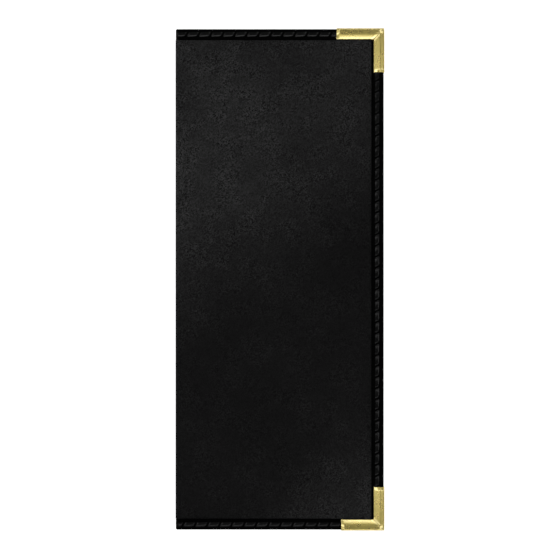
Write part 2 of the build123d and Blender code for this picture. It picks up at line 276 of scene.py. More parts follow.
def pebbled_leatherette(tree):
    """Matt polyurethane leatherette with an embossed pebble grain and fine wisps, under a painted grey sheen
    in clouds.
    """
    surface = on_surface(tree)
    # A painted grey sheen stands in for the lamps' light on the padded face. It is strongest over the upper
    # part by the spine, and comes back at the foot's free corner
    slope = add(tree, "ShaderNodeVectorMath", {0: surface, 1: (-0.72, 1.0, 0.0)}, operation="DOT_PRODUCT")
    upper = add(tree, "ShaderNodeMapRange", {
        "Value": slope.outputs["Value"], "From Min": 80 * MM, "From Max": 195 * MM,
        "To Min": 0.39, "To Max": 1.15,
    }, **SOFTLY)
    spine_side = round_patch(tree, surface, (10 * MM, 215 * MM), 95 * MM)
    foot_side = round_patch(tree, surface, (112 * MM, 8 * MM), 62 * MM)
    painted_sheen = add(tree, "ShaderNodeMath", {0: spine_side, 1: 0.5, 2: upper}, operation="MULTIPLY_ADD")
    painted_sheen = add(tree, "ShaderNodeMath", {0: foot_side, 1: 0.85, 2: painted_sheen}, operation="MULTIPLY_ADD")
    # Random clouds make the painted sheen uneven
    clouds = add(tree, "ShaderNodeTexNoise", {
        "Vector": surface, "Scale": 1 / (45 * MM), "Detail": 5.0, "Roughness": 0.55,
    })
    cloud = add(tree, "ShaderNodeMapRange", {
        "Value": clouds, "From Min": 0.3, "From Max": 0.7, "To Min": 0.72, "To Max": 1.28,
    })
    painted_sheen = add(tree, "ShaderNodeMath", {0: painted_sheen, 1: cloud}, operation="MULTIPLY")
    # Pebbles with narrow valleys between them, each rubbed to its own shade. They are drawn 0.62 mm across,
    # a little coarser than the real ones, so that they show.
    pebble = {"Vector": surface, "Scale": 1 / (0.62 * MM), "Randomness": 0.95}
    edge = add(tree, "ShaderNodeTexVoronoi", pebble, feature="DISTANCE_TO_EDGE", voronoi_dimensions="2D")
    valley = add(tree, "ShaderNodeMapRange", {"Value": edge.outputs["Distance"], "From Max": 0.2}, **SOFTLY)
    cell = add(tree, "ShaderNodeTexVoronoi", pebble, voronoi_dimensions="2D")
    rubbed = add(tree, "ShaderNodeMapRange", {"Value": cell.outputs["Color"], "To Min": -1.25, "To Max": 1.5})
    # Wisps are short creases 2.6 mm apart, in patches. Each has a pale side, a painted highlight, and a dark
    # side beside it, a painted shade
    crease = add(tree, "ShaderNodeTexNoise", {
        "Vector": surface, "Scale": 1 / (2.6 * MM), "Detail": 2.0, "Roughness": 0.6, "Distortion": 1.5,
    })
    patch = add(tree, "ShaderNodeTexNoise", {"Vector": surface, "Scale": 1 / (14 * MM), "Detail": 2.0})
    where = add(tree, "ShaderNodeMapRange", {
        "Value": patch, "From Min": 0.4, "From Max": 0.6, "To Min": 0.45,
    }, **SOFTLY)
    crease_light_and_shade = []
    for middle in (0.5, 0.57):
        off = add(tree, "ShaderNodeMath", {0: crease, 1: middle}, operation="SUBTRACT")
        away = add(tree, "ShaderNodeMath", {0: off}, operation="ABSOLUTE")
        line = {"Value": away, "From Max": 0.04, "To Min": 1.0, "To Max": 0.0}
        line = add(tree, "ShaderNodeMapRange", line, **SOFTLY)
        crease_light_and_shade.append(add(tree, "ShaderNodeMath", {0: line, 1: where}, operation="MULTIPLY"))
    tone_and_painted_light = add(tree, "ShaderNodeMath", {0: rubbed, 1: where}, operation="MULTIPLY")
    for side, strength in zip(crease_light_and_shade, (1.2, -0.4)):
        tone_and_painted_light = add(tree, "ShaderNodeMath", {0: side, 1: strength, 2: tone_and_painted_light}, operation="MULTIPLY_ADD")
    # The painted sheen lightens the whole face, and the pebbles' own tone and the creases' painted light and
    # shade ride on it
    tone_and_painted_light = add(tree, "ShaderNodeMath", {0: tone_and_painted_light, 1: painted_sheen, 2: painted_sheen}, operation="MULTIPLY_ADD")
    shade = list(settings("cover_skin").shade)
    base = add(tree, "ShaderNodeVectorMath", {0: shade, "Scale": tone_and_painted_light}, operation="SCALE")
    bump = add(tree, "ShaderNodeBump", {"Height": crease_light_and_shade[0], "Strength": 0.3, "Distance": 0.15 * MM})
    bump = add(tree, "ShaderNodeBump", {
        "Height": valley, "Strength": 0.6, "Distance": 0.15 * MM, "Normal": bump,
    })
    paint(tree, Base_Color=base, Roughness=0.58, Specular_IOR_Level=0.06, Normal=bump)


def bonded_leather_strip(tree):
    """Matt black bonded leather strip, rolled flat: darker and closer than the panel, faintly grained. Its
    near black is painted darker than the real strip, as the shade that lies along the border.
    """
    shade = list(settings("cover_binding").shade)
    surface = on_surface(tree)
    grain = add(tree, "ShaderNodeTexNoise", {
        "Vector": surface, "Scale": 1 / (0.7 * MM), "Detail": 4.0, "Roughness": 0.65,
    })
    cloud = add(tree, "ShaderNodeTexNoise", {"Vector": surface, "Scale": 1 / (15 * MM), "Detail": 2.0})
    base = shades(tree, cloud, times(shade, 0.6), times(shade, 1.5))
    bump = add(tree, "ShaderNodeBump", {"Height": grain, "Strength": 0.15, "Distance": 0.05 * MM})
    paint(tree, Base_Color=base, Roughness=0.9, Specular_IOR_Level=0.02, Normal=bump)


def waxed_flat_lacing(tree):
    """Flat braided nylon lacing drawn through wax: satin black, with plies along its length."""
    shade = list(settings("cover_lacing").shade)
    surface = on_surface(tree)
    tint = add(tree, "ShaderNodeAttribute", attribute_name="tint").outputs["Fac"]
    # The wave repeats every pi / 10 of its scale, which makes the plies 0.7 mm apart, twice the real ones
    plies = add(tree, "ShaderNodeTexWave", {
        "Vector": surface, "Scale": 1 / (2.2 * MM), "Distortion": 1.2, "Detail": 2.0,
    }, bands_direction="Y")
    wax = add(tree, "ShaderNodeTexNoise", {"Vector": surface, "Scale": 1 / (1.4 * MM), "Detail": 3.0})
    gloss = add(tree, "ShaderNodeMapRange", {
        "Value": wax, "From Min": 0.3, "From Max": 0.7, "To Min": 0.14, "To Max": 0.21,
    })
    base = shades(tree, tint, times(shade, 0.75), times(shade, 1.3), 0.0, 1.0)
    bump = {"Height": plies.outputs["Fac"], "Strength": 0.1, "Distance": 0.03 * MM}
    bump = add(tree, "ShaderNodeBump", bump)
    paint(tree, Base_Color=base, Roughness=gloss, Specular_IOR_Level=0.12, Normal=bump)


def stamped_brass(tree):
    """Stamped and lacquered brass: a soft yellow shine, with faint rub marks and olive tarnish."""
    shade = list(settings("cover_corners").shade)
    where = add(tree, "ShaderNodeTexCoord").outputs["Object"]
    tarnish = add(tree, "ShaderNodeTexNoise", {"Vector": where, "Scale": 1 / (4 * MM), "Detail": 2.0})
    # Real rub marks are hairlines, drawn 1.1 mm apart so that they show
    rubbed = add(tree, "ShaderNodeMapping", {"Vector": where, "Scale": (1.0, 1.0, 0.25)})
    marks = add(tree, "ShaderNodeTexNoise", {"Vector": rubbed, "Scale": 1 / (1.1 * MM), "Detail": 1.0})
    gloss = add(tree, "ShaderNodeMapRange", {
        "Value": tarnish, "From Min": 0.3, "From Max": 0.7, "To Min": 0.3, "To Max": 0.26,
    })
    base = shades(tree, tarnish, times(shade, 0.8, 0.82, 0.74), shade)
    bump = add(tree, "ShaderNodeBump", {"Height": marks, "Strength": 0.01, "Distance": 0.02 * MM})
    # Lacquer has an IOR near 1.5. A higher one lets small lamps give it the white sheen of a bright room.
    lacquer = {"Coat_Weight": 1.0, "Coat_Roughness": 0.2, "Coat_IOR": 2.35}
    paint(tree, Base_Color=base, Metallic=1.0, Roughness=gloss, Normal=bump, **lacquer)


def black_book_cloth(tree):
    """Black starched book cloth, plain weave: small even threads with a dull sheen."""
    shade = list(settings("cover_inside").lining)
    surface = on_surface(tree)
    # Threads are really 0.3 mm apart, and are drawn 0.7 mm apart so that they show
    pitch = 0.7 * MM
    thread = {"Vector": surface, "Scale": math.pi / 10 / pitch, "Distortion": 0.6, "Detail": 1.0}
    warp, weft = (
        add(tree, "ShaderNodeTexWave", thread, bands_direction=way).outputs["Fac"] for way in ("X", "Y")
    )
    weave = add(tree, "ShaderNodeMath", {0: warp, 1: weft}, operation="MULTIPLY")
    slub = add(tree, "ShaderNodeTexNoise", {"Vector": surface, "Scale": 1 / (9 * MM), "Detail": 3.0})
    mixed = add(tree, "ShaderNodeMath", {0: weave, 1: slub}, operation="MULTIPLY")
    base = shades(tree, mixed, times(shade, 0.7), times(shade, 1.6), 0.0, 0.6)
    bump = add(tree, "ShaderNodeBump", {"Height": weave, "Strength": 0.4, "Distance": 0.1 * MM})
    paint(tree, Base_Color=base, Roughness=0.78, Specular_IOR_Level=0.3, Sheen_Weight=0.08, Normal=bump)


def clear_vinyl_film(tree):
    """Clear calendered vinyl: glossy and nearly colourless, seen by its reflections."""
    waves = {"Vector": on_surface(tree), "Scale": 1 / (26 * MM), "Detail": 2.0}
    waves = add(tree, "ShaderNodeTexNoise", waves)
    bump = add(tree, "ShaderNodeBump", {"Height": waves, "Strength": 0.35, "Distance": 0.6 * MM})
    gloss = add(tree, "ShaderNodeBsdfGlossy", {"Roughness": 0.12, "Normal": bump})
    clear = add(tree, "ShaderNodeBsdfTransparent", {"Color": (*settings("cover_inside").clear, 1)})
    edge = add(tree, "ShaderNodeFresnel", {"IOR": 1.5, "Normal": bump})
    mixed = add(tree, "ShaderNodeMixShader", {0: edge, 1: clear, 2: gloss})
    add(tree, "ShaderNodeOutputMaterial", {"Surface": mixed})


def grey_millboard(tree):
    """Millboard of pressed waste paper: grey with darker and paler fibres."""
    shade = list(settings("cover_inside").board)
    where = add(tree, "ShaderNodeTexCoord").outputs["Object"]
    fibres = {"Vector": where, "Scale": 1 / (1.2 * MM), "Detail": 5.0, "Distortion": 1.5}
    fibres = add(tree, "ShaderNodeTexNoise", fibres)
    base = shades(tree, fibres, times(shade, 0.7), times(shade, 1.2))
    bump = add(tree, "ShaderNodeBump", {"Height": fibres, "Strength": 0.3, "Distance": 0.1 * MM})
    paint(tree, Base_Color=base, Roughness=0.9, Normal=bump)


def open_cell_foam(tree):
    """Open-cell polyurethane foam: grey, with small round pores."""
    shade = list(settings("cover_inside").foam)
    where = add(tree, "ShaderNodeTexCoord").outputs["Object"]
    pores = add(tree, "ShaderNodeTexVoronoi", {"Vector": where, "Scale": 1 / (0.6 * MM)})
    # The pores are painted darker, as the shade inside them
    base = shades(tree, pores, times(shade, 0.6), times(shade, 1.1), 0.0, 0.6)
    bump = add(tree, "ShaderNodeBump", {"Height": pores, "Strength": 0.6, "Distance": 0.2 * MM})
    paint(tree, Base_Color=base, Roughness=0.95, Normal=bump)


def white_paper(tree):
    """Seamless white paper: white to the camera and in reflections, with a faint shadow."""
    shade = (*settings("cover_stage").floor, 1)
    rays = add(tree, "ShaderNodeLightPath").outputs
    seen = rays["Is Camera Ray"]
    for kind in ("Glossy", "Transmission"):
        seen = add(tree, "ShaderNodeMath", {0: seen, 1: rays[f"Is {kind} Ray"]}, operation="MAXIMUM")
    paper = add(tree, "ShaderNodeBsdfDiffuse", {"Color": shade})
    glow = add(tree, "ShaderNodeEmission", {"Color": (1, 1, 1, 1), "Strength": 0.75})
    both = add(tree, "ShaderNodeAddShader", {0: paper, 1: glow})
    pick = add(tree, "ShaderNodeMixShader", {0: seen, 1: paper, 2: both})
    add(tree, "ShaderNodeOutputMaterial", {"Surface": pick})


def once(recipe):
    """The material whose nodes a function adds to a tree, made the first time it is asked for."""
    key = f"made_{recipe.__name__}"
    if key not in bpy.context.scene:
        material = bpy.data.materials.new(recipe.__name__)
        material.use_nodes = True
        material.node_tree.nodes.clear()
        recipe(material.node_tree)
        bpy.context.scene[key] = material
    return bpy.context.scene[key]


def parts(low, high, count):
    """The values from low to high that divide what lies between them into equal parts."""
    return [low + (high - low) * at / count for at in range(count + 1)]


def spread(low, high, step):
    """Evenly spaced values from low to high, about step apart."""
    return parts(low, high, max(1, round(abs(high - low) / step)))


def mix(low, high, share):
    """A value part of the way from one to another."""
    return low + (high - low) * share


def smooth(share):
    """A share from 0 to 1 that leaves and arrives gently."""
    share = min(max(share, 0.0), 1.0)
    return share * share * (3 - 2 * share)


def fanned(along, first, start, reach):
    """A place along a leaf or the spine, moved so that this layer begins at start instead of at first."""
    share = min((along - first) / reach, 1.0)
    return along + (start - first) * (1 - share)


def place(run, y, depth, leaf):
    """A place on one leaf in the frame: the front leaf is the back one's mirror."""
    return (SPINE_X + run, y, depth if leaf == "back" else THICKNESS - depth)


def creased(spine_end, leaf_end, share):
    """A point of a layer where it crosses the fold, as run and depth.

    The layer lies straight between its two ends when the leaf is opened flat. Closed, each point is turned
    back round the fold line by its own part of the quarter turn.
    """
    fold = complex(FOLD, FOLD)
    near, far = spine_end - fold, leaf_end - fold
    across = mix(near.real - near.imag, far.real - far.imag, share)
    # Where both ends come together when it closes, the layer keeps to one circle round the fold line
    if abs(near - far * -1j) < 0.05 * MM:
        turn = math.asin(across / (abs(near) * math.sqrt(2))) + QUARTER / 2
        return fold + near * cmath.exp(1j * turn)
    turned = cmath.exp(1j * QUARTER * smooth(share))
    near, far = near * turned, far * -1j * turned
    start, end = near.real - near.imag, far.real - far.imag
    return fold + mix(near, far, (across - start) / (end - start))


def folded(spine_line, leaf_line):
    """A layer's line from the middle of the spine, through the crease, and along the leaf."""
    bend = [creased(spine_line[-1], leaf_line[0], share) for share in parts(0, 1, CREASE_STEPS)[1:-1]]
    return spine_line + bend + leaf_line


def rim_profile(radius, drop, flange, ease=None):
    """Lines of a grid where a layer turns over its rim: how far out each lies, and its share of the drop.

    At the rim's foot the layer turns out again, over a length and a height of ease.
    """
    turn = [
        (radius * math.sin(angle) - radius, radius - radius * math.cos(angle))
        for angle in spread(0, QUARTER, 0.3)
    ]
    ease = ease or (drop - radius) / 2
    foot = [
        (0.0, drop - ease),
        (0.15 * ease, drop - 0.45 * ease),
        (0.5 * ease, drop - 0.12 * ease),
        (ease, drop),
        (flange, drop),
    ]
    return [(-1.25 * radius, 0.0)] + [(out, down / drop) for out, down in turn + foot]


def rim_lines(half, profile, step):
    """Lines from one end of a leaf to the other, each with its share of the drop over the rim."""
    edge = [(half + out, share) for out, share in profile]
    rim = edge[0][0]
    middle = [(y, 0.0) for y in spread(-rim, rim, step)[1:-1]]
    return [(-y, share) for y, share in reversed(edge)] + middle + edge


def round_corner(run, y, corner_run, corner_y, radius):
    """A point near a free corner, moved so that the lines of the grid turn round it in an arc."""
    out_run = (run - corner_run) / radius + 1
    out_y = (abs(y) - corner_y) / radius + 1
    if out_run <= 0 or out_y <= 0:
        return run, y
    size = max(out_run, out_y)
    turn = out_y / out_run if out_run >= out_y else 2 - out_run / out_y
    angle = turn * QUARTER / 2
    run = corner_run + (size * math.cos(angle) - 1) * radius
    return run, math.copysign(corner_y + (size * math.sin(angle) - 1) * radius, y)


def linked(name, data):
    """An object in the scene that shows some data."""
    made = bpy.data.objects.new(name, data)
    bpy.context.scene.collection.objects.link(made)
    return made


def grid_object(name, points, wrap=False, flip=False):
    """A mesh over a grid of places. Its UV map named surface holds lengths along and across it, in metres."""
    points = np.array(points, float)
    rows, columns = points.shape[:2]
    ring = np.concatenate([points, points[:1]]) if wrap else points
    middle_row, middle_column = points[rows // 2], ring[:, columns // 2]
    along = np.concatenate([[0], np.linalg.norm(np.diff(middle_row, axis=0), axis=1).cumsum()])
    across = np.concatenate([[0], np.linalg.norm(np.diff(middle_column, axis=0), axis=1).cumsum()])
    faces, corners = [], []
    for row in range(len(ring) - 1):
        for column in range(columns - 1):
            square = [(row, column), (row, column + 1), (row + 1, column + 1), (row + 1, column)]
            if flip:
                square.reverse()
            faces.append([at % rows * columns + over for at, over in square])
            corners += [(along[over], across[at]) for at, over in square]
    if wrap:
        for column in (0, columns - 1):
            faces.append([row * columns + column for row in range(rows)])
            corners += [(along[column], across[row]) for row in range(rows)]
    mesh = bpy.data.meshes.new(name)
    mesh.from_pydata(points.reshape(-1, 3).tolist(), [], faces)
    mesh.uv_layers.new(name="surface").data.foreach_set("uv", np.array(corners).ravel())
    return linked(name, mesh)


def settled(piece):
    """The piece with its modifiers worked into a plain mesh."""
    bpy.context.view_layer.update()
    graph = bpy.context.evaluated_depsgraph_get()
    made = bpy.data.meshes.new_from_object(
        piece.evaluated_get(graph), preserve_all_data_layers=True, depsgraph=graph
    )
    piece.modifiers.clear()
    piece.data = made
    return piece


def outward(piece, closed=True):
    """The piece with its faces turned outwards and its normals smooth, apart from sharp edges.

    A shell that isn't closed gets one flat face over its open side.
    """
    shell = bmesh.new()
    shell.from_mesh(piece.data)
    if not closed:
        bmesh.ops.holes_fill(shell, edges=[edge for edge in shell.edges if edge.is_boundary])
    bmesh.ops.recalc_face_normals(shell, faces=shell.faces)
    shell.to_mesh(piece.data)
    shell.free()
    piece.data.shade_smooth()
    piece.data.set_sharp_from_angle(angle=math.radians(38))
    return piece


def thickened(piece, thickness, pared=()):
    """An open sheet made a shell of some thickness, inwards, with a quarter of it at pared vertices."""
    solid = piece.modifiers.new("thickness", "SOLIDIFY")
    solid.thickness = thickness
    solid.offset = -1.0
    if pared:
        piece.vertex_groups.new(name="pared").add(list(pared), 1.0, "REPLACE")
        solid.vertex_group = "pared"
        solid.invert_vertex_group = True
        solid.thickness_vertex_group = 0.25
    settled(piece)
    piece.vertex_groups.clear()
    return outward(piece)


def painted(piece, material):
    """Put one material on all of a piece."""
    piece.data.materials.clear()
    piece.data.materials.append(once(material))


def dressed(piece, material, slot, *nodes):
    """Give a piece its material, and hide the CAD nodes that it stands for. The slot is not used."""
    painted(piece, material)
    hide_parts(*nodes)


def bends(piece, leaf, low, high):
    """Work the piece's transform into its mesh."""
    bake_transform(piece)


def pulled_over(piece, under, *joined):
    """Read a piece's lengths along and across it from its surface map. Nothing is done with them."""
    layer = piece.data.uv_layers["surface"].data
    corners = np.empty(len(layer) * 2)
    layer.foreach_get("uv", corners)


# Where the layers inside the binding cross the fold, as distances from its diagonal, spine side first
LAYER_CREASE = (-FOLD / math.sqrt(2), FOLD / math.sqrt(2))

# Room between two layers, and the radius of the boards' free corners in plan
LAYER_GAP = 0.1 * MM
BOARD_CORNER = 1.5 * MM

# Seeds of the slow unevenness that a leaf's leatherette and padding share
RELIEF_SEEDS = {"back": 3, "front": 11}


def layer_start(depth):
    """Where a layer at some depth begins beside the fold."""
    return FOLD + depth


def half_spine(depth):
    """A layer at some depth inside the spine, from its middle to the fold."""
    heights = spread(THICKNESS / 2, FOLD, 0.45 * MM)
    reach = THICKNESS / 2 - FOLD
    return [complex(depth, fanned(height, FOLD, layer_start(depth), reach)) for height in heights]


def skin_line(y, fall, run_lines, seed):
    """Leatherette along one line of the grid, as runs and depths."""
    skin = settings("cover_skin")
    strip = settings("cover_binding").strip
    spine_drop = fall * (SPINE_BORDER_IN - (BORDER_IN - BORDER_OUT) + strip + 0.3 * MM)
    leaf = []
    for run, share in run_lines:
        depth = max(share, fall) * (BORDER_OUT + strip)
        if share == 0 and fall == 0:
            depth += skin_relief(skin, run, y, seed)
        leaf.append(complex(fanned(run, FOLD, layer_start(depth), 5 * MM), depth))
    return folded(half_spine(spine_drop), leaf)


def skin_relief(skin, run, y, seed):
    """How far the padded face lies below its highest plane.

    It falls away towards its rim and swells slowly, with a smaller and quicker swell on top. It is calm
    beside the fold.
    """
    panel_run, panel_y = panel_edge()
    inside = min(panel_run - run, panel_y - abs(y))
    sink = skin.sink * math.exp(-inside / (4 * MM))
    calm = smooth((run - FOLD) / (6 * MM))
    slow = noise.noise(Vector((run / (38 * MM), y / (52 * MM), seed))) + 0.5
    quick = noise.noise(Vector((run / (13 * MM), y / (15 * MM), seed + 5))) * 0.25
    return calm * (sink + skin.swell * max(slow + quick, 0))


def panel_edge():
    """Where the raised panel ends, as run and Y."""
    binding = settings("cover_binding")
    return BINDING_RUN - binding.side_gap, BINDING_Y - binding.end_gap


def make_skin(leaf):
    """Leatherette of one leaf and of the spine's half beside it."""
    skin = settings("cover_skin")
    panel_run, panel_y = panel_edge()
    drop = BORDER_OUT + settings("cover_binding").strip
    foot = 0.15 * MM
    pared_reach = 3.5 * MM
    profile_y = rim_profile(skin.rim, drop, LAYERS_Y - panel_y, foot)
    profile_run = rim_profile(skin.rim, drop, LAYERS_RUN - panel_run, foot)
    beside_fold = [FOLD, 0.7 * MM, 1.2 * MM, 1.9 * MM]
    flat = spread(2.7 * MM, panel_run + profile_run[0][0], 1.7 * MM)[:-1]
    run_lines = [(run, 0.0) for run in beside_fold + flat]
    run_lines += [(panel_run + out, share) for out, share in profile_run]
    rows = []
    pared = []
    for y, fall in rim_lines(panel_y, profile_y, 1.8 * MM):
        line = skin_line(y, fall, run_lines, RELIEF_SEEDS[leaf])
        row = []
        for at, point in enumerate(line):
            run, wide = round_corner(point.real, y, panel_run, panel_y, skin.corner)
            row.append(place(run, wide, point.imag, leaf))
            # It is pared thin where it is turned in across the fold
            if fall > 0 and max(point.real, point.imag) < pared_reach:
                pared.append(len(rows) * len(line) + at)
        rows.append(row)
    piece = grid_object(f"{leaf}_leatherette", rows, flip=leaf == "back")
    thickened(piece, skin.thickness, pared)
    dressed(piece, pebbled_leatherette, "leatherette", f"{leaf}_cover", "spine_cover")
    pulled_over(piece, f"{leaf}_padding")
    bends(piece, leaf, *LAYER_CREASE)


def fold_arc(centre, radius, low, high):
    """Points of an arc round a centre, as runs and depths."""
    return [centre + radius * cmath.exp(1j * angle) for angle in spread(low, high, math.pi / 10)]


# The lining cloth's own thickness, where it lies beside the fold, and the radius of its turn up the board
CLOTH = LINING_IN - BOARD_IN
HINGE_LEVEL = SPINE_LINING_OUT + CLOTH
CLOTH_EASE = 0.25 * MM


def lining_foot(rise):
    """The cloth beside the fold on one line: its level, and the runs where it starts and turns up."""
    level = mix(HINGE_LEVEL, FILM_OUT, rise)
    first = layer_start(level)
    return level, first, max(BOARD_START - LAYER_GAP - CLOTH, first + 2 * CLOTH_EASE)


def lining_lines(profile, wall_y):
    """Lines of the lining's grid: each one's Y, share of the fall to the flange, and rise at the fold.

    Beside the fold the cloth rises into the bound ends over their last 6 mm, on lines closer together.
    """
    climb = 6 * MM
    rim = wall_y + profile[0][0]
    closer = [(side * (rim - climb * share**2), 0.0) for side in (-1, 1) for share in parts(0, 1, 8)[1:]]
    lines = sorted(rim_lines(wall_y, profile, 3 * MM) + closer, key=lambda line: line[0])
    return [(y, fall, min(max((abs(y) - BINDING_Y) / climb + 1, 0.0), 1.0) ** 6) for y, fall in lines]


def make_hinge_cloth(leaf, places, wall_y):
    """Lining cloth over half the spine and across the fold, up to the foot of one leaf's board."""
    rows = []
    for y in places:
        rise = min(max((abs(y) - wall_y) / (4 * MM) + 1, 0.0), 1.0) ** 4
        spine = half_spine(mix(HINGE_LEVEL, SPINE_LINING_IN, rise))
        level, first, wall = lining_foot(rise)
        flat = [complex(run, level) for run in parts(first, wall - CLOTH_EASE, 4)]
        tucked = [complex(wall, level - 0.06 * MM)]
        rows.append([place(point.real, y, point.imag, leaf) for point in folded(spine, flat + tucked)])
    piece = grid_object(f"{leaf}_hinge_cloth", rows, flip=leaf == "front")
    thickened(piece, settings("cover_inside").cloth)
    dressed(piece, black_book_cloth, "lining_cloth", "spine_lining", f"{leaf}_lining")
    bends(piece, leaf, *LAYER_CREASE)
    return piece


def make_lining(leaf):
    """Lining cloth of one leaf, up its board's end and over it, and out under the binding."""
    wall_run, wall_y = BOARD_END + LAYER_GAP + CLOTH, BOARD_Y + LAYER_GAP + CLOTH
    drop = LINING_IN - FILM_OUT
    rim = 0.4 * MM
    brow = 0.6 * MM
    profile_y = rim_profile(rim, drop, LAYERS_Y - wall_y)
    profile_run = rim_profile(rim, drop, LAYERS_RUN - wall_run)
    end_lines = [(run, 0.0) for run in spread(5 * MM, wall_run - BOARD_CORNER, 2.4 * MM)]
    end_lines += [(wall_run + out, share) for out, share in profile_run]
    lines = lining_lines(profile_y, wall_y)
    rows = []
    for y, fall, rise in lines:
        level, _first, wall = lining_foot(rise)
        shape = fold_arc(complex(wall - CLOTH_EASE, HINGE_LEVEL + CLOTH_EASE), CLOTH_EASE, -QUARTER, 0)
        climb = spread(HINGE_LEVEL + CLOTH_EASE, LINING_IN - brow, 0.6 * MM)[1:-1]
        shape += [complex(wall, depth) for depth in climb]
        shape += fold_arc(complex(wall + brow, LINING_IN - brow), brow, 2 * QUARTER, QUARTER)
        squeeze = (mix(LINING_IN, FILM_OUT, fall) - level) / (LINING_IN - HINGE_LEVEL)
        row = []
        for at, point in enumerate(shape):
            even = mix(wall - CLOTH_EASE, end_lines[0][0], at / len(shape))
            depth = level + (point.imag - HINGE_LEVEL) * squeeze
            row.append(place(mix(point.real, even, fall), y, depth, leaf))
        for run, share in end_lines:
            depth = mix(LINING_IN, FILM_OUT, max(share, fall))
            run, wide = round_corner(run, y, wall_run, wall_y, BOARD_CORNER)
            row.append(place(run, wide, depth, leaf))
        rows.append(row)
    piece = grid_object(f"{leaf}_lining_cloth", rows, flip=leaf == "front")
    thickened(piece, settings("cover_inside").cloth)
    dressed(piece, black_book_cloth, "lining_cloth", f"{leaf}_lining")
    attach(piece, f"{leaf}_leaf")
    hinge = make_hinge_cloth(leaf, sorted({y for y, _fall, _rise in lines}), wall_y)
    pulled_over(piece, f"{leaf}_board", hinge)


def make_pocket(leaf):
    """Clear film over one leaf's lining, open beside the spine."""
    inside = settings("cover_inside")
    wall_run, wall_y = (edge + LAYER_GAP for edge in panel_edge())
    seam_room = 0.3 * MM
    drop = FILM_IN - FILM_OUT - seam_room
    rim = 0.3 * MM
    profile_y = rim_profile(rim, drop, LAYERS_Y - wall_y)
    profile_run = rim_profile(rim, drop, LAYERS_RUN - wall_run)
    run_lines = [(run, 0.0) for run in spread(MOUTH_RUN, wall_run - BOARD_CORNER, 2.4 * MM)]
    run_lines += [(wall_run + out, share) for out, share in profile_run]
    rows = []
    for y, fall in rim_lines(wall_y, profile_y, 2.6 * MM):
        row = []
        for run, share in run_lines:
            level = FILM_IN - max(share, fall) * drop
            wave = noise.noise(Vector((run / (21 * MM), y / (33 * MM), 30 + LEAVES.index(leaf))))
            calm = smooth(min(wall_run - run, wall_y - abs(y)) / (9 * MM))
            level -= inside.ripple * calm * (wave + 0.5)
            run, wide = round_corner(run, y, wall_run, wall_y, BOARD_CORNER)
            row.append(place(run, wide, level, leaf))
        rows.append(row)
    piece = grid_object(f"{leaf}_pocket_film", rows, flip=leaf == "front")
    thickened(piece, inside.film)
    dressed(piece, clear_vinyl_film, "clear_film", f"{leaf}_pocket")
    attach(piece, f"{leaf}_leaf")
    pulled_over(piece, f"{leaf}_lining")


def make_padding(leaf):
    """Foam between one leaf's leatherette and its board, crowned and eased at its rim."""
    skin = settings("cover_skin")
    drop = BOARD_OUT - PADDING_OUT
    rim = 0.6 * MM
    profile = rim_profile(rim, drop, 0.0)
    edge = [(out, share) for out, share in profile if out <= 0]
    start = [(BOARD_START - out, share) for out, share in reversed(edge)]
    middle = [(run, 0.0) for run in spread(BOARD_START + BOARD_CORNER, BOARD_END - BOARD_CORNER, 4 * MM)]
    run_lines = start + middle + [(BOARD_END + out, share) for out, share in edge]
    rows = []
    for y, fall in rim_lines(BOARD_Y, edge, 4 * MM):
        row = []
        for run, share in run_lines:
            low = max(share, fall)
            level = PADDING_OUT + low * drop
            if low == 0:
                level += skin_relief(skin, run, y, RELIEF_SEEDS[leaf])
            run, wide = round_corner(run, y, BOARD_END, BOARD_Y, BOARD_CORNER)
            row.append(place(run, wide, level, leaf))
        rows.append(row)
    piece = grid_object(f"{leaf}_foam_padding", rows, flip=leaf == "front")
    outward(piece, closed=False)
    dressed(piece, open_cell_foam, "foam", f"{leaf}_padding")
    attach(piece, f"{leaf}_leaf")


# Where the binding crosses the fold: the leaf's strip starts further out than the spine's
BINDING_LEAF_START = -0.5 * MM
BINDING_SPINE_START = 0.9 * MM
BINDING_CREASE = (-BINDING_SPINE_START / math.sqrt(2), BINDING_LEAF_START / math.sqrt(2))

# How far before the border the lines of a strip begin to turn towards its mitre
MITRE_REACH = 2 * MM


def strip_section(inner, edge, lap=0.0):
    """Folded strip across its length: places in from the edge, each with its share of the depth.

    Its leg on the outer face reaches further in by lap than the one on the inner face.
    """
    binding = settings("cover_binding")
    deep = BORDER_IN - BORDER_OUT
    fold, strip = binding.fold, binding.strip
    nose = 0.18 * MM
    outer = inner - lap
    out_leg = [complex(at, 0) for at in spread(outer + nose, edge - fold, 0.9 * MM)]
    out_bend = fold_arc(complex(edge - fold, fold), fold, -QUARTER, 0)[1:]
    in_bend = fold_arc(complex(edge - fold, deep - fold), fold, 0, QUARTER)
    in_leg = [complex(at, deep) for at in spread(edge - fold, inner + nose, 0.9 * MM)[1:]]
    in_nose = fold_arc(complex(inner + nose, deep - nose), nose, QUARTER, 2 * QUARTER)[1:]
    slot = [
        (inner, deep - strip), (edge - fold, deep - strip), (edge - strip, deep - fold),
        (edge - strip, fold), (edge - fold, strip), (outer, strip),
    ]
    slot = [complex(*pair) for pair in slot]
    out_nose = fold_arc(complex(outer + nose, nose), nose, 2 * QUARTER, 3 * QUARTER)[:-1]
    points = out_leg + out_bend + in_bend + in_leg + in_nose + slot + out_nose
    return [(point.real, point.imag / deep) for point in points]


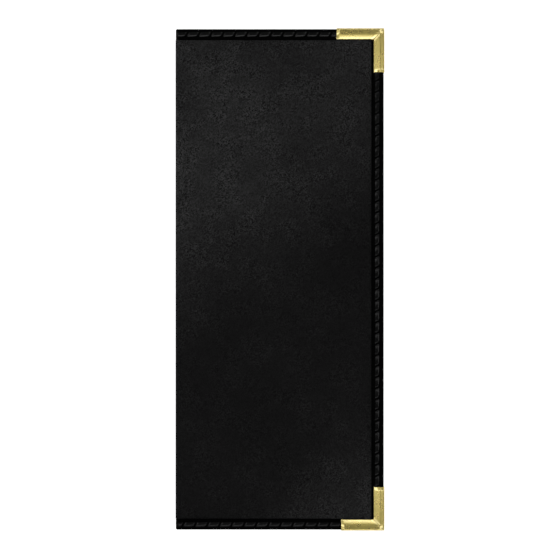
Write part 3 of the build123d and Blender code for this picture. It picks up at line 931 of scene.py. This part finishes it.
def end_strip_line(across, share, stations):
    """Binding along the head or foot at one place of its section, as runs and depths."""
    binding = settings("cover_binding")
    spine_depth = mix(binding.recess, SPINE_BORDER_IN, share)
    leaf_depth = mix(BORDER_OUT, BORDER_IN, share)
    spine_first, leaf_first = binding.recess + BINDING_SPINE_START, BORDER_OUT + BINDING_LEAF_START
    spine_start, leaf_start = spine_depth + BINDING_SPINE_START, leaf_depth + BINDING_LEAF_START
    heights = spread(THICKNESS / 2, spine_first, 0.5 * MM)
    reach = THICKNESS / 2 - spine_first
    spine = [complex(spine_depth, fanned(height, spine_first, spine_start, reach)) for height in heights]
    mitre = BINDING_RUN + (across - BINDING_Y) * (EDGE_RUN - BINDING_RUN) / (EDGE_Y - BINDING_Y)
    runs = [fanned(run, leaf_first, leaf_start, 6 * MM) for run in stations]
    runs += parts(BINDING_RUN - MITRE_REACH, mitre, 8)[1:]
    return folded(spine, [complex(run, leaf_depth) for run in runs])


def make_end_binding(leaf, end):
    """Folded strip along the head or foot of one leaf and over the spine's half beside it."""
    side = ENDS[end]
    stations = spread(BORDER_OUT + BINDING_LEAF_START, BINDING_RUN - MITRE_REACH, 0.8 * MM)
    rows = []
    for across, share in strip_section(BINDING_Y, EDGE_Y, settings("cover_binding").lap):
        line = rounded_edge(end_strip_line(across, share, stations), share)
        rows.append([place(point.real, side * across, point.imag, leaf) for point in line])
    piece = grid_object(f"{leaf}_{end}_strip", rows, wrap=True)
    outward(piece)
    dressed(piece, bonded_leather_strip, "binding", f"{leaf}_{end}_binding", f"spine_{end}_binding")
    bends(piece, leaf, *BINDING_CREASE)


def rounded_edge(line, share):
    """The line with its crease turned round the outside of the fold where it lies on the outer face."""
    first = next(at for at, point in enumerate(line) if point.real != line[0].real) - 1
    start, end = line[first], line[first + CREASE_STEPS]
    knee = complex(start.real, end.imag)
    mild = smooth(share * 1.4)
    bent = list(line)
    for step, at in enumerate(parts(0, 1, CREASE_STEPS)):
        arc = (1 - at) ** 2 * start + 2 * at * (1 - at) * knee + at * at * end
        bent[first + step] = mix(arc, line[first + step], mild)
    return bent


def make_fore_edge_binding(leaf):
    """Folded strip along the free edge of one leaf, mitred at both ends."""
    rows = []
    for across, share in strip_section(BINDING_RUN, EDGE_RUN):
        depth = mix(BORDER_OUT, BORDER_IN, share)
        mitre = BINDING_Y + (across - BINDING_RUN) * (EDGE_Y - BINDING_Y) / (EDGE_RUN - BINDING_RUN)
        last = BINDING_Y - MITRE_REACH
        ends = parts(last, mitre, 4)[1:]
        line = [-y for y in reversed(ends)] + spread(-last, last, 1 * MM) + ends
        rows.append([place(across, y, depth, leaf) for y in line])
    piece = grid_object(f"{leaf}_fore_edge_strip", rows, wrap=True)
    outward(piece)
    dressed(piece, bonded_leather_strip, "binding", f"{leaf}_fore_edge_binding")
    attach(piece, f"{leaf}_leaf")


def stitch_shape(name, crown, twist):
    """One stitch of flat lacing, one unit long along X, that dives into a needle hole at each end.

    It was pulled tight from one side, where it stands highest. It falls away to the other side, slowly
    where crown is 2 and mostly at the edge where crown is larger. A twist lifts one side of each end.
    """
    lacing = settings("cover_lacing")
    # Places across it, from the side where it stands highest, each with its height
    top = [(0.5 - share, 1 - share**crown) for share in parts(0, 1, 12)]
    under = [(-0.47, -0.3), (0.0, -0.5), (0.46, -0.3), (0.5, 0.2), (0.5, 0.85)]
    half = [0.0, 0.45, 0.66, 0.77, 0.85, 0.91, 0.96, 1.0]
    rows = []
    for across, up in top + under:
        row = []
        for at in [-at for at in reversed(half[1:])] + half:
            # Towards its ends it gets narrower and lower, and it dives into its holes
            full = (1 - abs(at) ** 6) ** 0.5
            dive = 1.15 * lacing.rise * abs(at) ** 12
            y = lacing.width * mix(0.55, 1.0, full) * across
            lifted = (1 - 0.3 * twist) * up + twist * at * across * (up > 0)
            row.append((at / 2, y, lacing.rise * mix(0.35, 1.0, full) * lifted - dive))
        rows.append(row)
    return outward(grid_object(name, rows, wrap=True))


SEAM_INPUTS = {
    "Geometry": ("Seam",),
    "Object": ("Stitch",),
    "Float": ("Start", "Pitch", "Gap", "Begin", "End", "Slant", "Tilt"),
    "Int": ("Count", "Seed"),
    "Vector": ("Across",),
    "Material": ("Material",),
}


def seam_tree():
    """Geometry nodes that lay stitches along a seam line, one from each needle hole to the next."""
    tree = bpy.data.node_groups.new("laced_seam", "GeometryNodeTree")
    for kind, names in SEAM_INPUTS.items():
        for name in names:
            tree.interface.new_socket(name, in_out="INPUT", socket_type=f"NodeSocket{kind}")
    tree.interface.new_socket("Laced", in_out="OUTPUT", socket_type="NodeSocketGeometry")
    given = add(tree, "NodeGroupInput").outputs
    # The stitches lie in a straight row along X first, each a little different
    first = {0: given["Pitch"], 1: 0.5, 2: given["Start"]}
    first = add(tree, "ShaderNodeMath", first, operation="MULTIPLY_ADD")
    row = add(tree, "GeometryNodeMeshLine", {
        "Count": given["Count"],
        "Start Location": add(tree, "ShaderNodeCombineXYZ", {"X": first}),
        "Offset": add(tree, "ShaderNodeCombineXYZ", {"X": given["Pitch"]}),
    })
    wobble, height, tint = (
        add(tree, "FunctionNodeRandomValue", {
            "Min": low, "Max": high, "Seed": given["Seed"],
        }, data_type="FLOAT").outputs["Value"]
        for low, high in ((-0.035, 0.035), (0.93, 1.07), (0.0, 1.0))
    )
    long = add(tree, "ShaderNodeMath", {0: given["Pitch"], 1: given["Gap"]}, operation="SUBTRACT")
    size = add(tree, "ShaderNodeCombineXYZ", {"X": long, "Y": height, "Z": height})
    stitch = add(tree, "GeometryNodeObjectInfo", {"Object": given["Stitch"]}).outputs["Geometry"]
    laid = add(tree, "GeometryNodeInstanceOnPoints", {"Points": row, "Instance": stitch, "Scale": size})
    laid = add(tree, "GeometryNodeStoreNamedAttribute", {
        "Geometry": laid, "Name": "tint", "Value": tint,
    }, data_type="FLOAT", domain="INSTANCE")
    lean = add(tree, "ShaderNodeMath", {0: given["Tilt"], 1: wobble}, operation="ADD")
    turn = add(tree, "ShaderNodeCombineXYZ", {"Z": lean})
    laid = add(tree, "GeometryNodeRotateInstances", {"Instances": laid, "Rotation": turn})
    laid = add(tree, "GeometryNodeRealizeInstances", {"Geometry": laid})
    # X becomes the way along the seam, with slanted ends, Y the way across it and Z the height over it
    spot = add(tree, "ShaderNodeSeparateXYZ", {"Vector": add(tree, "GeometryNodeInputPosition")}).outputs
    along = {0: spot["Y"], 1: given["Slant"], 2: spot["X"]}
    along = add(tree, "ShaderNodeMath", along, operation="MULTIPLY_ADD")
    kept = add(tree, "ShaderNodeClamp", {"Value": along, "Min": given["Begin"], "Max": given["End"]})
    curve = add(tree, "GeometryNodeMeshToCurve", {"Mesh": given["Seam"]})
    seam = add(tree, "GeometryNodeSampleCurve", {
        "Curves": curve, "Length": kept,
    }, mode="LENGTH", use_all_curves=True).outputs
    up = {0: seam["Tangent"], 1: given["Across"]}
    up = add(tree, "ShaderNodeVectorMath", up, operation="CROSS_PRODUCT")
    up = add(tree, "ShaderNodeVectorMath", {0: up}, operation="NORMALIZE")
    there = seam["Position"]
    for way, far in ((given["Across"], spot["Y"]), (up, spot["Z"])):
        step = add(tree, "ShaderNodeVectorMath", {0: way, "Scale": far}, operation="SCALE")
        there = add(tree, "ShaderNodeVectorMath", {0: there, 1: step}, operation="ADD")
    laid = add(tree, "GeometryNodeSetPosition", {"Geometry": laid, "Position": there})
    laid = add(tree, "GeometryNodeSetMaterial", {"Geometry": laid, "Material": given["Material"]})
    add(tree, "NodeGroupOutput", {"Laced": laid})
    return tree


def laced(name, line, start, begin, end, across, pitch, slant, stitch, tree):
    """Stitches along a seam line given by its points, from a hole onwards, cut off at begin and end."""
    lacing = settings("cover_lacing")
    mesh = bpy.data.meshes.new(name)
    mesh.from_pydata(line, [(at, at + 1) for at in range(len(line) - 1)], [])
    piece = linked(name, mesh)
    modifier = piece.modifiers.new("lacing", "NODES")
    modifier.node_group = tree
    values = {
        "Stitch": stitch,
        "Start": start,
        "Pitch": pitch,
        "Gap": lacing.gap,
        "Count": math.ceil((end - start) / pitch - 0.02),
        "Begin": begin,
        "End": end,
        "Slant": slant,
        "Tilt": math.copysign(lacing.tilt, slant),
        "Across": across,
        "Seed": lacing.seed + len(name),
        "Material": once(waxed_flat_lacing),
    }
    for socket in tree.interface.items_tree:
        if socket.in_out == "INPUT" and socket.name in values:
            modifier[socket.identifier] = values[socket.name]
    settled(piece)
    piece.data.shade_smooth()
    return piece


def end_seam_line(y, leaf):
    """The outer face of the binding under the seam of a head or foot, from mid spine to the free edge."""
    depth = settings("cover_lacing").rise
    ease = 0.5 * MM
    turn = complex(depth + ease, BORDER_OUT + ease)
    spine = [complex(depth, height) for height in spread(THICKNESS / 2, turn.imag, 0.5 * MM)]
    bend = fold_arc(turn, ease, 2 * QUARTER, 3 * QUARTER)[1:-1]
    along = [complex(run, BORDER_OUT) for run in spread(turn.real, EDGE_RUN, 2 * MM)]
    return [place(point.real, y, point.imag, leaf) for point in spine + bend + along]


def line_length(line):
    """Length of a line of points."""
    return sum(math.dist(one, other) for one, other in zip(line, line[1:]))


def make_end_lacing(leaf, end, stitch, tree):
    """Lacing of a head or foot on both faces of one leaf, and round the edge to the spine."""
    lacing = settings("cover_lacing")
    pitch = getattr(lacing, f"{end}_pitch")
    hole = getattr(lacing, f"{end}_hole")
    side = ENDS[end]
    y = side * (EDGE_Y - lacing.end_inset)
    facing = 1 if leaf == "front" else -1
    line = end_seam_line(y, leaf)
    to_leaf = line_length(line) - EDGE_RUN
    corner_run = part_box(f"{leaf}_{end}_corner")[0].x - SPINE_X
    start = to_leaf + hole - pitch
    last = to_leaf + corner_run
    how = {"pitch": pitch, "slant": facing * lacing.slant, "stitch": stitch, "tree": tree}
    outer = laced(f"{leaf}_{end}_lacing", line, start, start, last, (0, facing, 0), **how)
    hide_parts(f"{leaf}_{end}_stitches")
    bends(outer, leaf, *BINDING_CREASE)
    inside = [place(run, y, BORDER_IN, leaf) for run in (0, EDGE_RUN)]
    first = hole if hole > BORDER_IN + 1 * MM else hole + pitch
    inner = laced(f"{leaf}_{end}_lacing_inside", inside, first, first, corner_run, (0, -facing, 0), **how)
    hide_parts(f"{leaf}_{end}_stitches")
    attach(inner, f"{leaf}_leaf")


def make_fore_edge_lacing(leaf, stitch, tree):
    """Lacing of the free edge on both faces of one leaf, between its corners."""
    lacing = settings("cover_lacing")
    pitch = lacing.fore_edge_pitch
    run = EDGE_RUN - lacing.side_inset
    facing = 1 if leaf == "front" else -1
    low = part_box(f"{leaf}_foot_corner")[1].y
    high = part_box(f"{leaf}_head_corner")[0].y
    start = lacing.fore_edge_hole - pitch * math.ceil((lacing.fore_edge_hole - low) / pitch) - low
    how = {"pitch": pitch, "stitch": stitch, "tree": tree}
    for face, depth, way in (("", BORDER_OUT, -facing), ("_inside", BORDER_IN, facing)):
        name = f"{leaf}_fore_edge_lacing{face}"
        line = [place(run, y, depth, leaf) for y in (low, high)]
        piece = laced(name, line, start, 0, high - low, (way, 0, 0), slant=way * lacing.slant, **how)
        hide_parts(f"{leaf}_fore_edge_stitches")
        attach(piece, f"{leaf}_leaf")


def make_spine_lacing(end, stitch, tree):
    """The stitch that crosses the spine at its head or foot."""
    lacing = settings("cover_lacing")
    y = ENDS[end] * (EDGE_Y - lacing.end_inset)
    long = THICKNESS - 2 * (BORDER_OUT + 0.7 * MM)
    line = [place(lacing.rise, y, (THICKNESS + side * long) / 2, "back") for side in (-1, 1)]
    piece = laced(f"spine_{end}_lacing", line, 0, 0, long, (0, 1, 0), long, 0, stitch, tree)
    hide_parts(f"spine_{end}_stitch")
    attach(piece, "spine")


def corner_profile(fall, hollow):
    """Stamped brass across a leg: places in from the outer edge, each with its depth below the face.

    Its flat band and its slope are straight where hollow is 1, and flow into each other where it is more.
    """
    brass = settings("cover_corners")
    sheet, leg, bend = brass.sheet, brass.leg, brass.bend
    top = BORDER_OUT - sheet - brass.crown
    lip = BORDER_OUT - brass.lip
    under = BORDER_IN + sheet
    nose = 0.1 * MM
    slope = [
        complex(mix(brass.flat, leg - nose, share), mix(top, lip, share**hollow))
        for share in parts(0, 1, 10)
    ]
    # Down the outer lip, round the inside that clamps the strip, and over the end of the inner leg
    inside = [
        (leg, lip + nose), (leg, BORDER_OUT - 0.03 * MM), (leg - 0.2 * MM, BORDER_OUT),
        (bend, BORDER_OUT), (sheet, BORDER_OUT + bend - sheet), (sheet, BORDER_IN - bend + sheet),
        (bend, BORDER_IN), (leg - 0.05 * MM, BORDER_IN), (leg, BORDER_IN + nose),
        (leg, under - nose), (leg - nose, under),
    ]
    back = [complex(at, under) for at in spread(leg - 0.6 * MM, bend, 1.2 * MM)]
    low_bend = fold_arc(complex(bend, under - bend), bend, QUARTER, 2 * QUARTER)[1:]
    # The flat band leans most at its outer edge, where the bend takes over its lean
    lean = math.atan(hollow * fall / (brass.flat - bend))
    high_bend = fold_arc(complex(bend, top + fall + bend), bend, 2 * QUARTER, 3 * QUARTER - lean)
    first = high_bend[-1]
    flat = [
        complex(mix(first.real, brass.flat, share), mix(first.imag, top, 1 - (1 - share) ** hollow))
        for share in parts(0, 1, 6)[1:-1]
    ]
    return back + low_bend + high_bend + flat + slope + [complex(*pair) for pair in inside]


# Length over which a leg's end rounds off
LEG_NOSE = 0.16 * MM


def leg_stations(reach, bevel):
    """Distances from a leg's end, close together over its bevel."""
    start = [0.0, 0.06 * MM, LEG_NOSE, 0.4 * MM, 0.9 * MM, bevel * 0.8, bevel, bevel * 1.2]
    return start + parts(start[-1], reach, 14)[1:]


def bevelled(depth, from_end):
    """Depth of the outer face near a leg's end, where the brass slopes down to the strip."""
    brass = settings("cover_corners")
    if depth >= BORDER_OUT:
        return depth
    keep = mix(0.5, 1.0, min(from_end / brass.bevel, 1.0)) * mix(0.45, 1.0, min(from_end / LEG_NOSE, 1.0))
    return BORDER_OUT - (BORDER_OUT - depth) * keep


def make_corner(leaf, end):
    """One stamped brass corner: two legs that meet in a mitred crease."""
    brass = settings("cover_corners")
    side = ENDS[end]
    low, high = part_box(f"{leaf}_{end}_corner")
    leg_run, leg_y, _thickness = high - low
    end_hollow, side_hollow = 1.22, 1.07
    corner_outside, corner_inside = 0.22 * MM, 0.8 * MM
    end_profile = corner_profile(brass.end_slope, end_hollow)
    side_profile = corner_profile(brass.side_slope, side_hollow)
    rows = []
    for point, side_point in zip(end_profile, side_profile):
        inward, depth, side_depth = point.real, point.imag, side_point.imag
        radius = mix(corner_outside, corner_inside, inward / brass.leg)
        row = []
        for from_end in leg_stations(leg_run - inward - radius, brass.bevel):
            run = BRASS_RUN - leg_run + from_end
            row.append((run, BRASS_Y - inward, bevelled(depth, from_end)))
        for angle in parts(0, QUARTER, 6)[1:-1]:
            run = BRASS_RUN - inward - radius * (1 - math.sin(angle))
            y = BRASS_Y - inward - radius * (1 - math.cos(angle))
            row.append((run, y, mix(depth, side_depth, angle / QUARTER)))
        for from_end in reversed(leg_stations(leg_y - inward - radius, brass.bevel)):
            y = BRASS_Y - leg_y + from_end
            row.append((BRASS_RUN - inward, y, bevelled(side_depth, from_end)))
        rows.append([place(run, side * y, deep, leaf) for run, y, deep in row])
    piece = grid_object(f"{leaf}_{end}_brass_corner", rows, wrap=True)
    outward(piece)
    dressed(piece, stamped_brass, "brass", f"{leaf}_{end}_corner")
    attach(piece, f"{leaf}_leaf")


class COVER_OT_skin(bpy.types.Operator):
    """Cover both leaves and the spine with leatherette"""

    bl_idname = "menu_cover.skin"
    bl_label = "Leatherette"

    def execute(self, context):
        for leaf in LEAVES:
            make_skin(leaf)
        return {"FINISHED"}


class COVER_OT_inside(bpy.types.Operator):
    """Line the leaves and put in their padding, boards and clear pockets"""

    bl_idname = "menu_cover.inside"
    bl_label = "Lining and pockets"

    def execute(self, context):
        for leaf in LEAVES:
            make_lining(leaf)
            make_pocket(leaf)
            make_padding(leaf)
            painted(frame["nodes"][f"{leaf}_board"], grey_millboard)
        return {"FINISHED"}


class COVER_OT_binding(bpy.types.Operator):
    """Bind the edges with a folded strip"""

    bl_idname = "menu_cover.binding"
    bl_label = "Binding"

    def execute(self, context):
        for leaf in LEAVES:
            for end in ENDS:
                make_end_binding(leaf, end)
            make_fore_edge_binding(leaf)
        return {"FINISHED"}


class COVER_OT_lacing(bpy.types.Operator):
    """Lace the bound edges"""

    bl_idname = "menu_cover.lacing"
    bl_label = "Lacing"

    def execute(self, context):
        shapes = {"head": (2.8, 0.0), "foot": (6.0, 0.0), "fore_edge": (16.0, 0.8)}
        stitches = {where: stitch_shape(f"{where}_stitch", *shape) for where, shape in shapes.items()}
        tree = seam_tree()
        for end in ENDS:
            for leaf in LEAVES:
                make_end_lacing(leaf, end, stitches[end], tree)
            make_spine_lacing(end, stitches[end], tree)
        for leaf in LEAVES:
            make_fore_edge_lacing(leaf, stitches["fore_edge"], tree)
        for stitch in stitches.values():
            bpy.data.objects.remove(stitch)
        return {"FINISHED"}


class COVER_OT_corners(bpy.types.Operator):
    """Clamp brass corners over the free corners"""

    bl_idname = "menu_cover.corners"
    bl_label = "Brass corners"

    def execute(self, context):
        for leaf in LEAVES:
            for end in ENDS:
                make_corner(leaf, end)
        return {"FINISHED"}


# Softboxes: where each one hangs, its width and length, all in metres, and its power in watts
SOFTBOXES = {
    "left_softbox": ((-0.7, 0.0, 1.2), (0.35, 0.9), 3.4),
    "right_softbox": ((0.65, 0.0, 1.2), (0.3, 0.9), 2.8),
    "near_softbox": ((0.0, -0.78, 1.15), (1.3, 0.35), 6.0),
    "far_softbox": ((0.0, 0.78, 1.15), (1.3, 0.35), 5.0),
}


def hang_softbox(name, spot, size, power):
    """A rectangular lamp that faces the cover."""
    lamp = bpy.data.lights.new(name, "AREA")
    lamp.shape = "RECTANGLE"
    lamp.size, lamp.size_y = size
    lamp.energy = power
    holder = linked(name, lamp)
    holder.location = spot
    holder.rotation_mode = "QUATERNION"
    holder.rotation_quaternion = (Vector(spot) - Vector((0, 0, THICKNESS))).to_track_quat("Z", "Y")


def lay_floor():
    """A wide floor just under the cover."""
    half = 6.0
    level = -0.03 * MM
    corners = [(-half, -half, level), (half, -half, level), (half, half, level), (-half, half, level)]
    mesh = bpy.data.meshes.new("floor")
    mesh.from_pydata(corners, [], [(0, 1, 2, 3)])
    mesh.materials.append(once(white_paper))
    floor = linked("floor", mesh)


def studio_surroundings():
    """Dim grey surroundings, which glossy things see paler towards the horizon, as white screens are."""
    world = bpy.data.worlds.new("studio")
    world.use_nodes = True
    tree = world.node_tree
    tree.nodes.clear()
    way = add(tree, "ShaderNodeTexCoord").outputs["Generated"]
    height = add(tree, "ShaderNodeSeparateXYZ", {"Vector": way}).outputs["Z"]
    screens = add(tree, "ShaderNodeMapRange", {
        "Value": height, "From Min": 0.4, "From Max": 0.75, "To Min": 0.5, "To Max": 0.0,
    }, **SOFTLY)
    mirrored = add(tree, "ShaderNodeLightPath").outputs["Is Glossy Ray"]
    level = add(tree, "ShaderNodeMath", {0: mirrored, 1: screens, 2: 0.1}, operation="MULTIPLY_ADD")
    shade = (*linear("#d8dade"), 1)
    grey = add(tree, "ShaderNodeBackground", {"Color": shade, "Strength": level})
    add(tree, "ShaderNodeOutputWorld", {"Surface": grey})
    return world


class COVER_OT_stage(bpy.types.Operator):
    """Set up the floor, the lamps and the camera"""

    bl_idname = "menu_cover.stage"
    bl_label = "Stage"

    def execute(self, context):
        stage = settings("cover_stage")
        scene = context.scene
        scene.view_settings.view_transform = "Standard"
        lay_floor()
        scene.world = studio_surroundings()
        for name, (spot, size, power) in SOFTBOXES.items():
            hang_softbox(name, spot, size, power)
        view = bpy.data.cameras.new("camera")
        view.lens = stage.lens
        view.clip_start, view.clip_end = 0.05, 20
        scene.camera = linked("camera", view)
        scene.camera.location = (stage.centre_x, stage.centre_y, THICKNESS + stage.distance)
        return {"FINISHED"}


class COVER_PT_panel(bpy.types.Panel):
    """Steps that dress the menu cover, in order"""

    bl_label = "Menu Cover"
    bl_idname = "COVER_PT_panel"
    bl_space_type = "VIEW_3D"
    bl_region_type = "UI"
    bl_category = "Menu Cover"

    def draw(self, context):
        for operator in STEPS:
            self.layout.operator(operator.bl_idname)
        for name, group in SETTINGS.items():
            box = self.layout.box()
            box.label(text=group.__doc__)
            for key in group.__annotations__:
                box.prop(getattr(context.scene, name), key)


STEPS = (
    COVER_OT_stage,
    COVER_OT_skin,
    COVER_OT_inside,
    COVER_OT_binding,
    COVER_OT_lacing,
    COVER_OT_corners,
)


def register():
    for group in SETTINGS.values():
        bpy.utils.register_class(group)
    for name, group in SETTINGS.items():
        setattr(bpy.types.Scene, name, PointerProperty(type=group))
    for operator in STEPS:
        bpy.utils.register_class(operator)
    bpy.utils.register_class(COVER_PT_panel)


def unregister():
    bpy.utils.unregister_class(COVER_PT_panel)
    for operator in reversed(STEPS):
        bpy.utils.unregister_class(operator)
    for name in SETTINGS:
        delattr(bpy.types.Scene, name)
    for group in reversed(SETTINGS.values()):
        bpy.utils.unregister_class(group)


def main():
    register()
    for step in ("stage", "skin", "inside", "binding", "lacing", "corners"):
        getattr(bpy.ops.menu_cover, step)()


if __name__ == "__main__":
    main()
